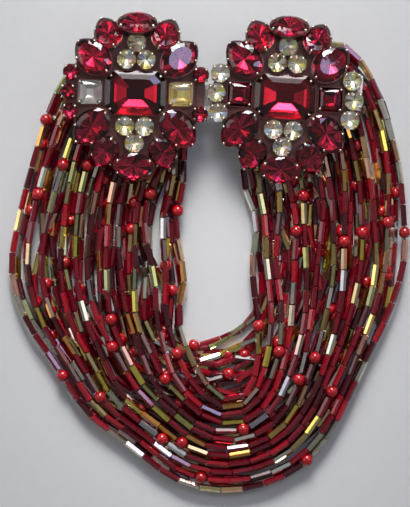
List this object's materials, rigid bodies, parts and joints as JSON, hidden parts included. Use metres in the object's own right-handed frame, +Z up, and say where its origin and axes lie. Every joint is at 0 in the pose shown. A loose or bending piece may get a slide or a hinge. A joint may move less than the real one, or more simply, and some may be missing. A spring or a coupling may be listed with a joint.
{
  "type": "bib necklace",
  "caption": "Bib necklace of long glass bead strands, laid flat, joined by two jewelled plaques with step-cut, pear and round stones and a hidden clasp.",
  "frame": {"origin": "middle of the underside of the necklace's box, on the surface it lies on", "axes": "+Z up from the surface; +Y from the bib towards the plaques at the back of the neck; +X to the right as seen from above"},
  "size_m": [0.1694, 0.2043, 0.0201],
  "materials": {
    "gunmetal_setting": "dark gunmetal plate, worn bright on the prongs",
    "pale_metal": "pale silver plate, satin",
    "ruby_glass": "foiled ruby glass, cut and polished",
    "aurora_crystal": "foiled clear crystal with an aurora coating",
    "glass_beads": "hex-cut glass bugle beads, ruby and iris-coated, with round red beads"
  },
  "bodies": {
    "root": {"plaque_left": "gunmetal_setting", "octagon_left": "ruby_glass", "square_outer_left": "aurora_crystal", "square_inner_left": "aurora_crystal", "petal_upper_middle_left": "ruby_glass", "pear_upper_outer_left": "ruby_glass", "petal_upper_outer_left": "ruby_glass", "pear_upper_inner_left": "ruby_glass", "petal_upper_inner_left": "ruby_glass", "petal_lower_middle_left": "ruby_glass", "pear_lower_outer_left": "ruby_glass", "petal_lower_outer_left": "ruby_glass", "pear_lower_inner_left": "ruby_glass", "petal_lower_inner_left": "ruby_glass", "trio_upper_left": "aurora_crystal", "trio_lower_left": "aurora_crystal", "trio_outer_left": "ruby_glass", "trio_inner_left": "ruby_glass", "plaque_right": "gunmetal_setting", "octagon_right": "ruby_glass", "square_outer_right": "ruby_glass", "square_inner_right": "ruby_glass", "petal_upper_middle_right": "ruby_glass", "pear_upper_outer_right": "ruby_glass", "petal_upper_outer_right": "ruby_glass", "pear_upper_inner_right": "ruby_glass", "petal_upper_inner_right": "ruby_glass", "petal_lower_middle_right": "ruby_glass", "pear_lower_outer_right": "ruby_glass", "petal_lower_outer_right": "ruby_glass", "pear_lower_inner_right": "ruby_glass", "petal_lower_inner_right": "ruby_glass", "trio_upper_right": "aurora_crystal", "trio_lower_right": "aurora_crystal", "trio_outer_right": "aurora_crystal", "trio_inner_right": "aurora_crystal", "end_bar_left": "pale_metal", "end_bar_right": "pale_metal", "clasp": "pale_metal", "strand_bundle": "glass_beads", "strand_1": "glass_beads", "strand_2": "glass_beads", "strand_3": "glass_beads", "strand_4": "glass_beads", "strand_5": "glass_beads", "strand_6": "glass_beads", "strand_7": "glass_beads", "strand_8": "glass_beads", "strand_9": "glass_beads", "strand_10": "glass_beads", "strand_11": "glass_beads", "strand_12": "glass_beads"}
  },
  "joints": []
}
